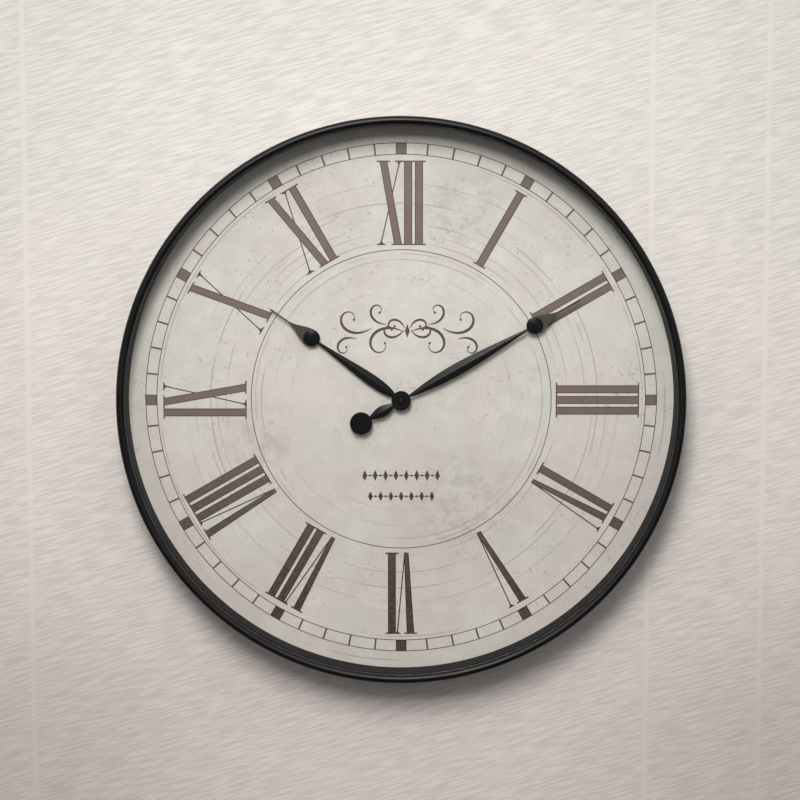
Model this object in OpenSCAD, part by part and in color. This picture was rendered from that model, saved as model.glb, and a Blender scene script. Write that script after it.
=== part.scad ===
// Round wall clock: steel rim, glass, printed dial, spade hands and a battery quartz movement.
// Everything is drawn flat, with x to the right, y up and z off the wall, then turned by upright()
// so that the wall is the plane y = 0, the dial looks along -Y and 12 o'clock is at +Z.

/* [Case] */
// Outside diameter of the rim
case_d = 600; // [560:10:640]
// Depth of the rim off the wall, wall pads included
case_depth = 66; // [62:1:70]
// Width of the rolled bead at the front of the rim
bead_w = 9; // [8:0.5:10]
// Thickness of the rim's steel sheet
sheet_t = 1.2; // [1:0.1:1.4]
// Thickness of the glass
glass_t = 2.5; // [2:0.5:3]

/* [Dial] */
// Height of the printed face off the wall
dial_z = 25; // [24.8:0.1:25.5]
// Thickness of the dial board
board_t = 4; // [3:0.5:4]

/* [Hands] */
// Angle of the minute hand, clockwise from 12
minute_angle = 60.5; // [0:0.5:360]
// Angle of the hour hand, clockwise from 12
hour_angle = 305; // [0:0.5:360]
// Axis to tip of the minute hand
minute_tip = 219; // [200:1:240]
// Axis to tip of the hour hand
hour_tip = 170.5; // [150:1:190]
// Diameter of the boss on each hand
boss_d = 18; // [12:1:20]
// Thickness of the hands' sheet
hand_t = 1.2; // [0.8:0.1:1.4]

/* [Movement] */
// Side of the square movement case
mov_side = 56; // [55:0.5:60]
// Depth of the movement case
mov_depth = 16; // [15.8:0.1:16.2]

/* [Hanging] */
// Height of the hanging slot's top above the dial's axis
hook_y = 256; // [240:1:260]
// Diameter of the keyhole's round end
keyhole_d = 10; // [8:0.5:12]
// Width of the keyhole's slot
slot_w = 5; // [4:0.5:6]

/* [Hidden] */
$fn = 96;

// Stack of the case, as heights off the wall
case_r = case_d / 2;
pad_t = 1.5;
bead_r = bead_w / 2;
bead_z = case_depth - bead_r;
lip_h = 2.5;
lip_z = bead_z - lip_h;
gasket_t = 1.5;
gasket_w = 5.8;
gasket_gap = 0.2;
glass_z = lip_z - gasket_t - glass_t;
glass_gap = 0.6;
glass_r = case_r - sheet_t - glass_gap;
spacer_w = 4.5;
paper_t = 0.3;
paper_gap = 0.5;
board_back = dial_z - paper_t - board_t;
board_gap = 0.8;
board_r = case_r - sheet_t - board_gap;
inner_r = case_r - bead_w;
flange_w = 8;
pad_r = 3.4;
pad_count = 4;

// Clips that hold the board in the rim
clip_count = 8;
clip_w = 16;
clip_len = 14;
clip_h = 9;
clip_reach = 0.6;
clip_screw_in = 4;
screw_r = 1.5;
screw_grip = board_t - 1;
screw_head_r = 3;
screw_head_h = 2;
cross_len = 3.6;
cross_w = 0.8;

// Hanger
hanger_w = 60;
hanger_h = 34;
hanger_t = 1.5;
hanger_z = 4.5;
hanger_foot = 16;
hanger_y = hook_y - hanger_h / 2 + 10;
slot_len = 10;

// Movement shell
cushion_t = 0.5;
mov_z = board_back - cushion_t - mov_depth;
mov_top = mov_z + mov_depth;
mov_half = mov_side / 2;
mov_wall = 1.2;
train_floor = mov_z + mov_wall;
front_plate = 1.2;
bay_y = -11.9;
bay_wall = 1.6;
bay_floor = 0.9;
cell_r = 7.1;
cell_y = bay_y - cell_r - 0.4;
cell_z = mov_z + 7.7;
cell_x0 = -24.9;
cell_len = 49.2;
cell_nub_r = 2.7;
cell_nub_h = 1.2;
contact_t = 0.4;
contact_w = 8;
contact_h = 10;
post_r = 3.9;
post_gap = 0.2;
post_top = dial_z + 5.3;
washer_t = 0.5;
washer_r = 7;
nut_across = 13;
nut_h = 2.4;
cushion_r = 12;
hand_z_hour = dial_z + 6.0;
hand_z_minute = dial_z + 9.2;
cap_d = 8;

// Wheel train: tooth counts, modules and centres
fine_m = 0.3;
motion_m = 0.4;
rotor_n = 8;
intermediate_n = 40;
intermediate_pinion_n = 8;
seconds_n = 48;
seconds_pinion_n = 8;
third_n = 64;
third_pinion_n = 8;
centre_n = 60;
cannon_n = 12;
work_n = 36;
work_pinion_n = 10;
hour_n = 40;
setting_n = 10;
third_d = fine_m * (seconds_pinion_n + third_n) / 2;
centre_m = 2 * third_d / (third_pinion_n + centre_n);
intermediate_d = fine_m * (intermediate_pinion_n + seconds_n) / 2;
rotor_d = fine_m * (rotor_n + intermediate_n) / 2;
work_d = motion_m * (cannon_n + work_n) / 2;
hour_m = 2 * work_d / (work_pinion_n + hour_n);
setting_d = motion_m * (work_n + setting_n) / 2;
third_dir = 20;
intermediate_dir = 160;
rotor_dir = 97;
work_dir = 90;
setting_dir = 45;
third_at = polar(third_d, third_dir);
intermediate_at = polar(intermediate_d, intermediate_dir);
rotor_at = intermediate_at + polar(rotor_d, rotor_dir);
work_at = polar(work_d, work_dir);
setting_at = work_at + polar(setting_d, setting_dir);

// Phase of each wheel, so that every pair is in mesh at rest
seconds_phase = 0;
third_phase = mesh_phase(third_dir, seconds_phase, seconds_pinion_n, third_n);
centre_phase = mesh_phase(third_dir + 180, third_phase, third_pinion_n, centre_n);
intermediate_phase = mesh_phase(intermediate_dir, seconds_phase, seconds_n, intermediate_pinion_n);
rotor_phase = mesh_phase(rotor_dir, intermediate_phase, intermediate_n, rotor_n);
cannon_phase = 0;
work_phase = mesh_phase(work_dir, cannon_phase, cannon_n, work_n);
hour_phase = mesh_phase(work_dir + 180, work_phase, work_pinion_n, hour_n);
setting_phase = mesh_phase(setting_dir, work_phase, work_n, setting_n);

// Heights of the wheels and plates off the wall
wheel_t = 0.8;
pinion_t = 1.6;
low_wheel_z = train_floor + 1.6;
mid_wheel_z = train_floor + 3.5;
plate_z = train_floor + 5.4;
plate_t = 1;
centre_wheel_z = train_floor + 7.2;
work_wheel_z = train_floor + 9.1;
hour_wheel_z = train_floor + 11.1;
third_boss_z = centre_wheel_z + 2.9;
roof_z = mov_top - front_plate;
pinion_lap = (pinion_t - wheel_t) / 2;
arbor_r = 0.5;
pivot_r = 0.3;
pivot_gap = 0.05;
run_gap = 0.06;
minute_pipe_r = 1.6;
hour_pipe_r = 2.5;
work_stud_r = 0.75;
setting_r = 1.2;
knob_r = 4.5;
knob_h = 2.2;
knob_top_z = mov_z - 0.4;
knob_notches = 18;
knob_notch_r = 0.35;
shell_pivot_z = mov_z + 0.5;
pivot_len = 0.9;

// Coil, stator and circuit
coil_y = 21.8;
coil_x0 = -21;
coil_x1 = -3;
coil_z = train_floor + 6.2;
coil_flange_r = 4;
coil_flange_t = 0.8;
coil_tube_r = 1.7;
coil_wire_r = 3.6;
core_r = 1;
core_reach = 2.6;
stator_z = train_floor + 0.8;
stator_t = 1;
stator_leg_w = 4.6;
circuit_z = train_floor + 1;
circuit_t = 0.8;

// Hands: shapes along the hand, from its axis
leaf_from = 8;
leaf_thin = 1.1;
spade_len = 32;
spade_thin = 0.8;
hub_r = 10.35;
bush_drop = 0.6;
boss_rise = 0.6;
hour_boss_y = 116.3;
minute_boss_y = 162.8;
tail_y = 49.1;
tail_r = 12;
cap_gap = 0.2;
cap_h = 3.4;
thread_r = 1.3;
thread_len = 2.2;

function polar(r, a) = [r * cos(a), r * sin(a)];

// Rotation that puts a gap of wheel 2 over the nearest tooth of wheel 1, which lies in direction dir
function mesh_phase(dir, phase1, n1, n2) = dir + 180 + 180 / n2 - (phase1 - dir) * n1 / n2;

// Outline of a wheel: tooth flanks are straight, from a wide root to a narrow tip
function tooth_ring(n, m, phase) = [
    for (i = [0 : n - 1], corner = [[-1.15, -0.25], [0.8, -0.09], [0.8, 0.09], [-1.15, 0.25]])
        polar(m * (n / 2 + corner[0]), phase + (i + corner[1]) * 360 / n)
];

// Half width of a hand's leaf at u, from 0 at the axis end to 1 at the boss
function leaf_half(u, widest, half_w, thin) =
    thin + (half_w - thin) * pow(sin(180 * pow(u, ln(0.5) / ln(widest))), 1.4);

// Half width of a hand's spade at u, from 0 at the boss centre to 1 at the spade's end
function spade_half(u, half_w, thin) = thin + (half_w - thin) * pow(cos(90 * u), 2);

module upright() {
    rotate([90, 0, 0]) children();
}

module at_height(z) {
    translate([0, 0, z]) children();
}

module around(count, first = 0) {
    for (i = [0 : count - 1]) rotate(first + i * 360 / count) children();
}

module disc(r, h) {
    cylinder(r = r, h = h);
}

module ring(outer, inner, h) {
    difference() {
        disc(outer, h);
        translate([0, 0, -1]) disc(inner, h + 2);
    }
}

module wheel(n, m, phase, z, h = wheel_t) {
    at_height(z) linear_extrude(h) polygon(tooth_ring(n, m, phase));
}

module pinion(n, m, phase, wheel_z) {
    wheel(n, m, phase, wheel_z - pinion_lap, pinion_t);
}

// ---- Case ----

module rim_profile() {
    translate([case_r - bead_r, bead_z]) intersection() {
        difference() {
            circle(r = bead_r);
            circle(r = bead_r - sheet_t);
        }
        translate([-bead_r, 0]) square([2 * bead_r, bead_r]);
    }
    translate([inner_r, lip_z]) square([sheet_t, bead_z - lip_z]);
    translate([case_r - sheet_t, pad_t]) square([sheet_t, bead_z - pad_t]);
    translate([case_r - flange_w, pad_t]) square([flange_w, sheet_t]);
}

module case_rim() {
    color("#15161a") upright() rotate_extrude($fn = 180) rim_profile();
}

module wall_pads() {
    color("#3a3a3c") upright() around(pad_count, 45) translate([case_r - flange_w / 2, 0, 0])
        disc(pad_r, pad_t, $fn = 32);
}

module lens_gasket() {
    hole_r = inner_r + gasket_gap;
    color("#1c1c1e") upright() at_height(lip_z - gasket_t) ring(hole_r + gasket_w, hole_r, gasket_t);
}

module glass_lens() {
    color("#cfe0dc", 0.3) upright() at_height(glass_z) disc(glass_r, glass_t);
}

module spacer_ring() {
    color("#5b5049") upright() at_height(dial_z) ring(inner_r + spacer_w, inner_r, glass_z - dial_z);
}

// ---- Dial ----

module dial_sheet() {
    color("#cdc7c0") upright() at_height(dial_z - paper_t)
        ring(board_r - paper_gap, post_r + post_gap, paper_t);
}

module hanger_screw_places() {
    for (side = [-1, 1], row = [-1, 1])
        translate([side * (hanger_w / 2 + hanger_foot / 2), hanger_y + row * hanger_h / 4, 0]) children();
}

module clip_screw_places() {
    around(clip_count, 22.5) translate([board_r - clip_len + clip_screw_in, 0, 0]) children();
}

module screw_shank() {
    at_height(board_back) disc(screw_r, screw_grip, $fn = 32);
}

module dial_board() {
    color("#8a6a48") upright() difference() {
        at_height(board_back) ring(board_r, post_r + post_gap, board_t);
        hanger_screw_places() screw_shank();
        clip_screw_places() screw_shank();
    }
}

module retaining_clip() {
    difference() {
        union() {
            translate([board_r - clip_len, -clip_w / 2, board_back - sheet_t])
                cube([clip_len + clip_reach, clip_w, sheet_t]);
            translate([board_r + clip_reach - sheet_t, -clip_w / 2, board_back - clip_h])
                cube([sheet_t, clip_w, clip_h]);
        }
        translate([board_r - clip_len + clip_screw_in, 0, board_back - sheet_t - 1])
            disc(screw_r, sheet_t + 2, $fn = 32);
    }
}

module retaining_clips() {
    color("#8d9093") upright() around(clip_count, 22.5) retaining_clip();
}

// Pan head screw driven from behind, its head resting on a plate of thickness under
module pan_screw(under) {
    head_z = board_back - under;
    difference() {
        union() {
            at_height(head_z) disc(screw_r, under + screw_grip, $fn = 32);
            at_height(head_z - screw_head_h) disc(screw_head_r, screw_head_h, $fn = 32);
        }
        for (turn = [0, 90]) rotate(turn)
            translate([-cross_len / 2, -cross_w / 2, head_z - screw_head_h - 1])
                cube([cross_len, cross_w, screw_head_h]);
    }
}

module clip_screws() {
    color("#b9bcc0") upright() clip_screw_places() pan_screw(sheet_t);
}

// ---- Hanger ----

module keyhole() {
    translate([0, hook_y - slot_len, hanger_z - 1]) disc(keyhole_d / 2, hanger_t + 2);
    translate([-slot_w / 2, hook_y - slot_len, hanger_z - 1])
        cube([slot_w, slot_len - slot_w / 2, hanger_t + 2]);
    translate([0, hook_y - slot_w / 2, hanger_z - 1]) disc(slot_w / 2, hanger_t + 2);
}

module hanger_plate() {
    color("#a9adb1") upright() difference() {
        union() {
            translate([-hanger_w / 2, hanger_y - hanger_h / 2, hanger_z])
                cube([hanger_w, hanger_h, hanger_t]);
            for (side = [0, 1]) mirror([side, 0, 0]) {
                translate([hanger_w / 2 - hanger_t, hanger_y - hanger_h / 2, hanger_z])
                    cube([hanger_t, hanger_h, board_back - hanger_z]);
                translate([hanger_w / 2 - hanger_t, hanger_y - hanger_h / 2, board_back - hanger_t])
                    cube([hanger_foot + hanger_t, hanger_h, hanger_t]);
            }
        }
        keyhole();
        hanger_screw_places() at_height(board_back - hanger_t - 1) disc(screw_r, hanger_t + 2, $fn = 32);
    }
}

module hanger_screws() {
    color("#b9bcc0") upright() hanger_screw_places() pan_screw(hanger_t);
}

// ---- Movement shell ----

module pivot_hole(at, z, h, r = pivot_r + pivot_gap) {
    translate([at[0], at[1], z]) disc(r, h, $fn = 32);
}

module movement_base() {
    room_h = roof_z - mov_z;
    color("#1d1e20") upright() difference() {
        union() {
            translate([-mov_half, -mov_half, mov_z]) cube([mov_side, mov_side, mov_depth]);
            at_height(mov_top) disc(post_r, post_top - mov_top);
        }
        translate([-mov_half + mov_wall, bay_y + bay_wall, mov_z - 1])
            cube([mov_side - 2 * mov_wall, mov_half - mov_wall - bay_y - bay_wall, room_h + 1]);
        translate([-mov_half + mov_wall, -mov_half + mov_wall, mov_z - 1])
            cube([mov_side - 2 * mov_wall, bay_y + mov_half - mov_wall, mov_depth - bay_floor + 1]);
        at_height(mov_z) disc(hour_pipe_r + run_gap, post_top);
        pivot_hole(third_at, roof_z - 1, 1.6);
    }
    color("#1d1e20") upright() {
        difference() {
            translate([third_at[0], third_at[1], third_boss_z]) disc(1.4, roof_z - third_boss_z, $fn = 32);
            pivot_hole(third_at, centre_wheel_z, roof_z - centre_wheel_z + 1);
        }
        translate([work_at[0], work_at[1], work_wheel_z - pinion_lap])
            disc(work_stud_r, roof_z - work_wheel_z + pinion_lap, $fn = 32);
    }
}

module movement_cover() {
    color("#26272a") upright() difference() {
        translate([-mov_half + mov_wall + 0.1, bay_y + bay_wall + 0.1, mov_z])
            cube([mov_side - 2 * mov_wall - 0.2, mov_half - mov_wall - bay_y - bay_wall - 0.2, mov_wall]);
        pivot_hole([0, 0], mov_z + 0.4, 2);
        pivot_hole(third_at, mov_z + 0.4, 2);
        pivot_hole(intermediate_at, mov_z + 0.4, 2);
        pivot_hole(rotor_at, mov_z + 0.4, 2);
        pivot_hole(setting_at, mov_z - 1, 4, setting_r + run_gap);
    }
}

module middle_plate() {
    color("#e2dfd6") upright() difference() {
        union() {
            translate([-16.5, -9, plate_z]) cube([40.5, 16, plate_t]);
            translate([-16.5, 6.9, plate_z]) cube([14, 8.1, plate_t]);
            for (x = [-15, 22.5])
                translate([x, -7.5, train_floor]) disc(1.3, plate_z - train_floor, $fn = 32);
        }
        pivot_hole([0, 0], plate_z - 1, 3, minute_pipe_r + run_gap);
        pivot_hole(third_at, plate_z - 1, 3, arbor_r + run_gap);
        pivot_hole(intermediate_at, plate_z - 1, 3);
        pivot_hole(rotor_at, plate_z - 1, 3);
    }
}

module rubber_washer() {
    color("#2a2a2c") upright() at_height(mov_top) ring(cushion_r, post_r + post_gap / 2, cushion_t);
}

module brass_washer() {
    color("#c2a14d") upright() at_height(dial_z) ring(washer_r, post_r + post_gap / 2, washer_t);
}

module post_nut() {
    color("#c2a14d") upright() at_height(dial_z + washer_t) difference() {
        cylinder(d = nut_across, h = nut_h, $fn = 6);
        translate([0, 0, -1]) disc(post_r, nut_h + 2);
    }
}

// ---- Power and circuit ----

module lying_cylinder(r, x0, length, y, z) {
    translate([x0, y, z]) rotate([0, 90, 0]) disc(r, length, $fn = 64);
}

module battery() {
    color("#3f5f8f") upright() {
        lying_cylinder(cell_r, cell_x0, cell_len, cell_y, cell_z);
        lying_cylinder(cell_nub_r, cell_x0 + cell_len, cell_nub_h, cell_y, cell_z);
    }
}

module contact_positive() {
    color("#c9b06a") upright() difference() {
        translate([mov_half - mov_wall - contact_t, cell_y - contact_w / 2, cell_z - contact_h / 2])
            cube([contact_t, contact_w, contact_h]);
        lying_cylinder(0.8, mov_half - 3, 4, cell_y, cell_z + 3.6);
    }
}

module contact_negative() {
    color("#c9b06a") upright() {
        translate([-mov_half + mov_wall, cell_y - contact_w / 2, cell_z - contact_h / 2])
            cube([contact_t, contact_w, contact_h]);
        lying_cylinder(2.2, -mov_half + mov_wall + contact_t, 1, cell_y, cell_z);
    }
}

module circuit_board() {
    color("#2f6b3c") upright() {
        translate([10.5, 15, circuit_z]) cube([15.5, 11, circuit_t]);
        translate([17, 19, circuit_z + circuit_t]) disc(2.4, 1, $fn = 48);
    }
}

module quartz_can() {
    color("#c7c9cc") upright() lying_cylinder(1, 15, 6, 24.6, circuit_z + circuit_t + 1);
}

module coil_bobbin() {
    color("#ece8dc") upright() difference() {
        union() {
            for (x = [coil_x0, coil_x1 - coil_flange_t])
                lying_cylinder(coil_flange_r, x, coil_flange_t, coil_y, coil_z);
            lying_cylinder(coil_tube_r, coil_x0, coil_x1 - coil_x0, coil_y, coil_z);
        }
        lying_cylinder(core_r, coil_x0 - 1, coil_x1 - coil_x0 + 2, coil_y, coil_z);
    }
}

module coil_winding() {
    color("#a8552a") upright() difference() {
        wound_x0 = coil_x0 + coil_flange_t;
        wound_x1 = coil_x1 - coil_flange_t;
        lying_cylinder(coil_wire_r, wound_x0, wound_x1 - wound_x0, coil_y, coil_z);
        lying_cylinder(coil_tube_r, coil_x0, coil_x1 - coil_x0, coil_y, coil_z);
    }
}

module coil_core() {
    foot_z = stator_z + stator_t;
    color("#9a9da1") upright() {
        lying_cylinder(core_r, coil_x0 - core_reach, coil_x1 - coil_x0 + 2 * core_reach, coil_y, coil_z);
        for (x = [coil_x0 - core_reach, coil_x1])
            translate([x, coil_y - core_r, foot_z]) cube([core_reach, 2 * core_r, coil_z - foot_z]);
    }
}

module stator() {
    top = coil_y + 2 * core_r;
    low = rotor_at[1] - 4.4;
    left = coil_x0 - core_reach - 0.2;
    right = coil_x1 + core_reach + 0.2;
    color("#b4b7ba") upright() difference() {
        at_height(stator_z) linear_extrude(stator_t) difference() {
            translate([left, low]) square([right - left, top - low]);
            translate([left + stator_leg_w, 15.2]) square([right - left - 2 * stator_leg_w, top]);
            translate([rotor_at[0] - 0.2, low - 1]) square([0.4, 12]);
        }
        pivot_hole(rotor_at, train_floor, 3, 3.1);
        pivot_hole([0, 0], train_floor, 3, 8.4);
    }
}

// ---- Wheel train ----

// Arbor with a thin pivot at each end, from z0 to z1
module arbor(at, z0, z1) {
    translate([at[0], at[1], z0]) disc(pivot_r, z1 - z0, $fn = 32);
    translate([at[0], at[1], z0 + pivot_len]) disc(arbor_r, z1 - z0 - 2 * pivot_len, $fn = 32);
}

module moved(at) {
    translate([at[0], at[1], 0]) children();
}

module rotor() {
    color("#4a4d52") upright() {
        arbor(rotor_at, shell_pivot_z, plate_z + 0.8);
        moved(rotor_at) {
            pinion(rotor_n, fine_m, rotor_phase, mid_wheel_z);
            at_height(train_floor + 0.5) disc(2.6, 2.1);
        }
    }
}

module intermediate_wheel() {
    color("#f1efe8") upright() {
        arbor(intermediate_at, shell_pivot_z, plate_z + 0.8);
        moved(intermediate_at) {
            wheel(intermediate_n, fine_m, intermediate_phase, mid_wheel_z);
            pinion(intermediate_pinion_n, fine_m, intermediate_phase, low_wheel_z);
        }
    }
}

module seconds_wheel() {
    color("#f1efe8") upright() {
        at_height(shell_pivot_z) disc(pivot_r, 2, $fn = 32);
        at_height(train_floor + 0.5) disc(arbor_r, plate_z + 2 - train_floor, $fn = 32);
        wheel(seconds_n, fine_m, seconds_phase, low_wheel_z);
        pinion(seconds_pinion_n, fine_m, seconds_phase, mid_wheel_z);
    }
}

module third_wheel() {
    color("#f1efe8") upright() {
        arbor(third_at, shell_pivot_z, third_boss_z + 0.7);
        moved(third_at) {
            wheel(third_n, fine_m, third_phase, mid_wheel_z);
            pinion(third_pinion_n, centre_m, third_phase, centre_wheel_z);
        }
    }
}

module centre_wheel() {
    color("#e8e2cf") upright() difference() {
        wheel(centre_n, centre_m, centre_phase, centre_wheel_z);
        at_height(centre_wheel_z - 1) disc(minute_pipe_r + run_gap, 3);
    }
}

module minute_pipe() {
    foot_z = plate_z + 0.3;
    shoulder_z = plate_z + plate_t + 0.2;
    step_z = hand_z_minute + hand_t + cap_gap;
    color("#c9a24a") upright() difference() {
        union() {
            at_height(foot_z) disc(minute_pipe_r, step_z - foot_z);
            at_height(shoulder_z) disc(2.4, centre_wheel_z - shoulder_z - 0.1);
            at_height(step_z) disc(thread_r, thread_len);
            wheel(cannon_n, motion_m, cannon_phase, work_wheel_z - 0.6, 2);
        }
        at_height(plate_z) disc(arbor_r + run_gap, 4, $fn = 32);
    }
}

module minute_work_wheel() {
    color("#f1efe8") upright() moved(work_at) difference() {
        union() {
            wheel(work_n, motion_m, work_phase, work_wheel_z);
            wheel(work_pinion_n, hour_m, work_phase, work_wheel_z, roof_z - work_wheel_z - 0.6);
        }
        at_height(work_wheel_z - 1) disc(work_stud_r + run_gap, 8, $fn = 32);
    }
}

module hour_wheel() {
    pipe_top = hand_z_hour + 1.6;
    color("#f1efe8") upright() difference() {
        union() {
            wheel(hour_n, hour_m, hour_phase, hour_wheel_z, 1);
            at_height(hour_wheel_z) disc(hour_pipe_r, pipe_top - hour_wheel_z);
        }
        at_height(hour_wheel_z - 1) disc(minute_pipe_r + run_gap, pipe_top - hour_wheel_z + 2);
    }
}

module setting_shaft() {
    color("#f1efe8") upright() moved(setting_at) {
        at_height(knob_top_z) disc(setting_r, work_wheel_z + 1 - knob_top_z);
        pinion(setting_n, motion_m, setting_phase, work_wheel_z);
    }
}

module setting_knob() {
    color("#d8d5cc") upright() moved(setting_at) difference() {
        at_height(knob_top_z - knob_h) disc(knob_r, knob_h);
        around(knob_notches)
            translate([knob_r, 0, knob_top_z - knob_h - 1]) disc(knob_notch_r, knob_h + 2, $fn = 16);
    }
}

// ---- Hands ----

module leaf_outline(from, to, widest, half_w, thin) {
    steps = 28;
    side = [for (i = [0 : steps]) [i / steps, leaf_half(i / steps, widest, half_w, thin)]];
    polygon(concat(
        [for (p = side) [-p[1], from + p[0] * (to - from)]],
        [for (i = [steps : -1 : 0]) [side[i][1], from + side[i][0] * (to - from)]]
    ));
}

module spade_outline(boss_y, tip, half_w) {
    steps = 16;
    side = [for (i = [0 : steps]) [i / steps * spade_len, spade_half(i / steps, half_w, spade_thin)]];
    polygon(concat(
        [for (p = side) [-p[1], boss_y + p[0]]],
        [[-spade_thin, tip - 1], [0, tip], [spade_thin, tip - 1]],
        [for (i = [steps : -1 : 0]) [side[i][1], boss_y + side[i][0]]]
    ));
}

// A hand along +y: leaf, boss, spade, hub and the bush under it, with a hole of radius bore_r
module hand(boss_y, tip, widest, leaf_half_w, bore_r, bush_r) {
    difference() {
        union() {
            linear_extrude(hand_t) {
                leaf_outline(leaf_from, boss_y, widest, leaf_half_w, leaf_thin);
                spade_outline(boss_y, tip, boss_d / 2 - spade_thin);
            }
            translate([0, boss_y, 0]) disc(boss_d / 2, hand_t + boss_rise);
            disc(hub_r, hand_t);
            at_height(-bush_drop) disc(bush_r, hand_t + bush_drop);
            children();
        }
        at_height(-3) disc(bore_r, 8);
    }
}

module hour_hand() {
    color("#0b0c0e") upright() at_height(hand_z_hour) rotate(-hour_angle)
        hand(hour_boss_y, hour_tip, 0.26, 6.1, hour_pipe_r, 4);
}

module minute_hand() {
    color("#0b0c0e") upright() at_height(hand_z_minute) rotate(-minute_angle)
        hand(minute_boss_y, minute_tip, 0.39, 6.6, minute_pipe_r, 3.2) {
            translate([0, -tail_y, 0]) disc(tail_r, hand_t + boss_rise);
            linear_extrude(hand_t) mirror([0, 1]) leaf_outline(6, 40, 0.5, 6, 1.5);
        }
}

module cap_nut() {
    base_z = hand_z_minute + hand_t + cap_gap;
    dome_r = (pow(cap_d / 2, 2) + pow(cap_h, 2)) / (2 * cap_h);
    color("#0b0c0e") upright() difference() {
        intersection() {
            at_height(base_z + cap_h - dome_r) sphere(r = dome_r);
            at_height(base_z) disc(cap_d / 2 + 1, cap_h + 1);
        }
        at_height(base_z - 1) disc(thread_r, thread_len + 1.1);
    }
}

case_rim();
wall_pads();
lens_gasket();
glass_lens();
spacer_ring();
dial_sheet();
dial_board();
retaining_clips();
clip_screws();
hanger_plate();
hanger_screws();
movement_base();
movement_cover();
middle_plate();
rubber_washer();
brass_washer();
post_nut();
battery();
contact_positive();
contact_negative();
circuit_board();
quartz_can();
coil_bobbin();
coil_winding();
coil_core();
stator();
rotor();
intermediate_wheel();
seconds_wheel();
third_wheel();
centre_wheel();
minute_pipe();
minute_work_wheel();
hour_wheel();
setting_shaft();
setting_knob();
hour_hand();
minute_hand();
cap_nut();
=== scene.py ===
"""Looks of the round wall clock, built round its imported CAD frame.

Everything is in metres in the row frame: +Z is 12 o'clock, +X is 3 o'clock, the dial looks along -Y
and the wall is the plane y = 0. Flat shapes are drawn in millimetres as x to the right, y up and z off
the wall, and placed() turns them into the row frame.
"""

import math

import bpy
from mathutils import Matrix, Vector


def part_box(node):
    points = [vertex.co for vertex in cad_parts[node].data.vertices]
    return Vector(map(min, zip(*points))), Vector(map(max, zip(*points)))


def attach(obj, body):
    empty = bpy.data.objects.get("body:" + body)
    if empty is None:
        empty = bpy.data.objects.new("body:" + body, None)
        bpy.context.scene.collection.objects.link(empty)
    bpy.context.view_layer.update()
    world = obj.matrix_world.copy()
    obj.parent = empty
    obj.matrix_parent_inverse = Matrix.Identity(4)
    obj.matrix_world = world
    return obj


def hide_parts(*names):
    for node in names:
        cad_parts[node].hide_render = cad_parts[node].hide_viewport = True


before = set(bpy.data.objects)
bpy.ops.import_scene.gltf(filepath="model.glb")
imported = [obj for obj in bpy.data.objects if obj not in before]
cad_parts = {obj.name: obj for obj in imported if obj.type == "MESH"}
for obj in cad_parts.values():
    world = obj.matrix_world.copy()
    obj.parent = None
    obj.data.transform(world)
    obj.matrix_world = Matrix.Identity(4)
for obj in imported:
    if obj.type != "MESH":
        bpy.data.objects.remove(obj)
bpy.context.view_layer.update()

MM = 0.001
MINUTE_ANGLE = 60.5
HOUR_ANGLE = 305.0

# ---- Sizes in millimetres, some read from the frame ----


def off_wall(node):
    """A node's nearest and farthest height off the wall."""
    low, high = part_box(node)
    return -high.y / MM, -low.y / MM


def radius_of(node):
    """A round node's outer radius about the dial axis."""
    low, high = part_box(node)
    return max(high.x, -low.x, high.z, -low.z) / MM


RIM_BACK, RIM_FRONT = off_wall("case_rim")
RIM_R = 300.0
BEAD_W = 9.0
BEAD_R = BEAD_W / 2
SHEET_T = 1.2
FLANGE_W = 8.0
INNER_R = RIM_R - BEAD_W
GASKET_IN = 0.2
GASKET_OUT = 6.0
SPACER_W = 4.5
GLASS_Z0, GLASS_Z1 = off_wall("glass_lens")
GLASS_R = radius_of("glass_lens")
GASKET_Z1 = off_wall("lens_gasket")[1]
FACE_Z = off_wall("dial_sheet")[1]
CAP_Z0, CAP_Z1 = off_wall("cap_nut")
CAP_R = radius_of("cap_nut")
BUSH_DROP = 0.6
WALL_GAP = 0.3
WALL_HALF = 5000
HOUR_Z = off_wall("hour_hand")[0] + BUSH_DROP
MINUTE_Z = off_wall("minute_hand")[0] + BUSH_DROP

# ---- Sizes of the hands ----
HAND_T = 1.2
HUB_R = 10.35
BOSS_R = 9.0
BOSS_H = 2.5
LEAF_FROM = 8.0
LEAF_EDGE = 0.4
LEAF_SLOPE = 0.22
LEAF_THIN = 1.1
SPADE_LEN = 32.0
SPADE_THIN = 0.8
NEEDLE_TAPER = 1.5
NEEDLE_END = 0.2
BALL_SEAT = 0.05
CAP_EDGE = 0.4
TAIL_Y = 49.1
TAIL_R = 12.0
TAIL_EDGE = 1.5
TAIL_H = 1.9
TAIL_LEAF = (-6, -40)
TAIL_HALF = 6.0
TAIL_THIN = 1.5

# Ball's place and tip along the hand, the leaf's widest share and half width, the bore and the bush radius.
HOUR_SIZES = {"boss_y": 116.3, "tip": 170.5, "widest": 0.26, "half": 6.1, "bore": 2.5, "bush": 4.0}
MINUTE_SIZES = {"boss_y": 162.8, "tip": 219.0, "widest": 0.39, "half": 6.6, "bore": 1.6, "bush": 3.2}

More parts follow.
